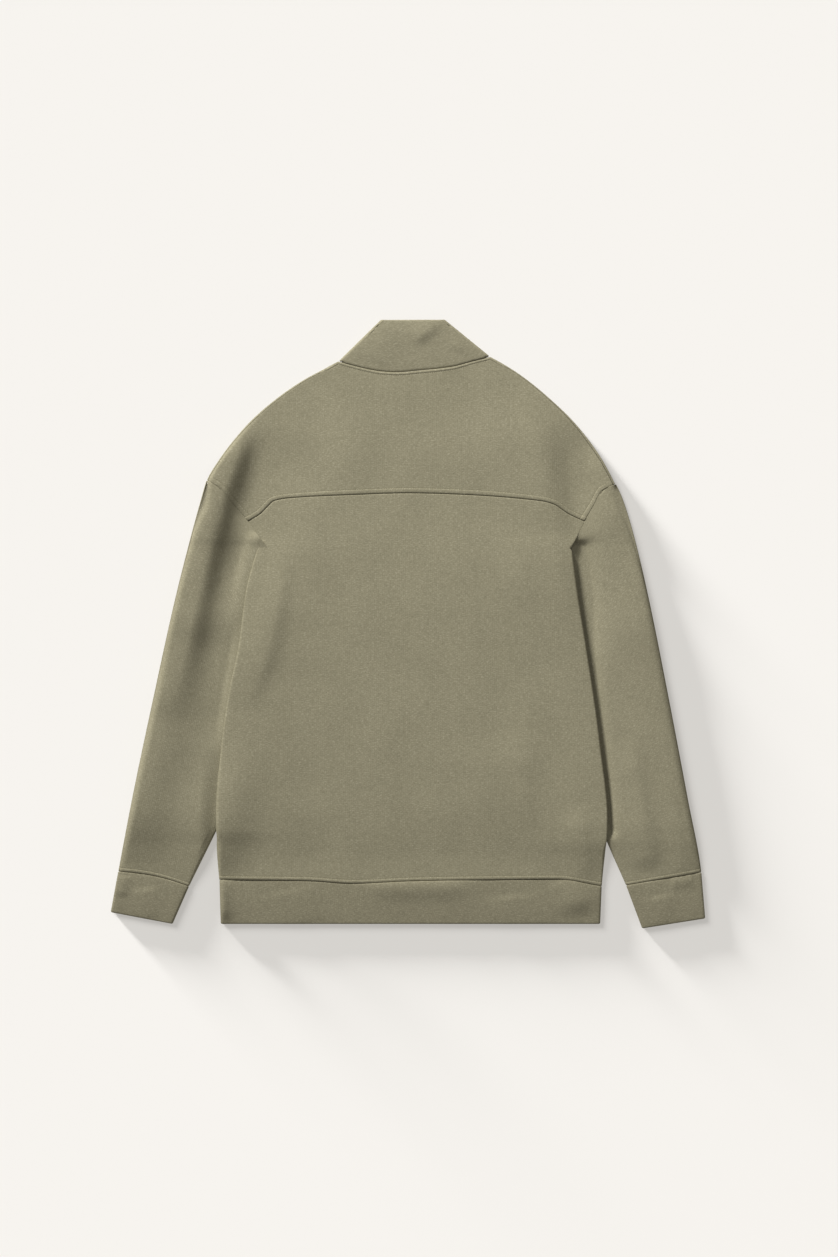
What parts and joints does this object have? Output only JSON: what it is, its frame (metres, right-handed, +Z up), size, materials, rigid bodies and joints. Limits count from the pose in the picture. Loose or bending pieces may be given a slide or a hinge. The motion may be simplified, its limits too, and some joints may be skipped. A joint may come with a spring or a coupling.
{
  "type": "stand collar sweatshirt",
  "caption": "Long-sleeved knit sweatshirt with a stand collar, back yoke, cuffs and hem band, laid flat on its front with the sleeves drawn down beside the body.",
  "frame": {"origin": "middle of the garment's outline as it lies, on the surface it lies on", "axes": "+X towards the garment's own right sleeve, +Y towards the collar, +Z up out of the back"},
  "size_m": [0.7604, 0.7798, 0.0142],
  "materials": {
    "knit": "brushed melange knit",
    "band_knit": "brushed melange knit, folded double"
  },
  "bodies": {
    "root": {"front_panel": "knit", "back_panel": "knit", "back_yoke": "knit", "sleeve_left": "knit", "sleeve_right": "knit", "cuff_left": "band_knit", "cuff_right": "band_knit", "hem_band": "band_knit", "collar": "band_knit"}
  },
  "joints": []
}
